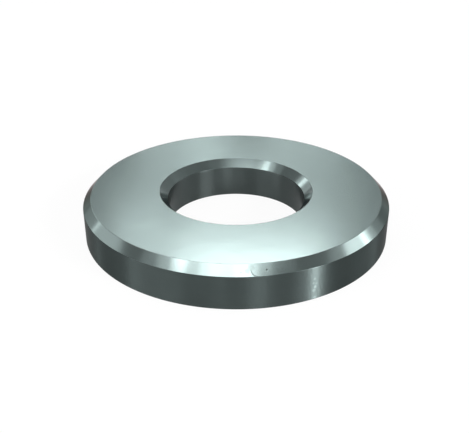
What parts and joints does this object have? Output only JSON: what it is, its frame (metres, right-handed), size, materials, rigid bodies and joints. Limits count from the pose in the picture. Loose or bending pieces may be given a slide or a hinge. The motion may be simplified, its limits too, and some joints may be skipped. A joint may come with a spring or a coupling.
{
  "type": "flat washer",
  "caption": "Thick flat steel ring with a 45 degree chamfer round its upper rim and at the mouth of its bore; spreads a bolt's load.",
  "frame": {"origin": "centre of the plain lower face, on the axis of the bore", "axes": "+Z along the axis, from the plain lower face up to the chamfered upper face; +X and +Y lie in the lower face, and the ring is the same all round"},
  "size_m": [0.0378, 0.0378, 0.005],
  "materials": {
    "steel": "finely turned, satin, cool grey"
  },
  "bodies": {
    "root": {"flat_washer": "steel"}
  },
  "joints": []
}
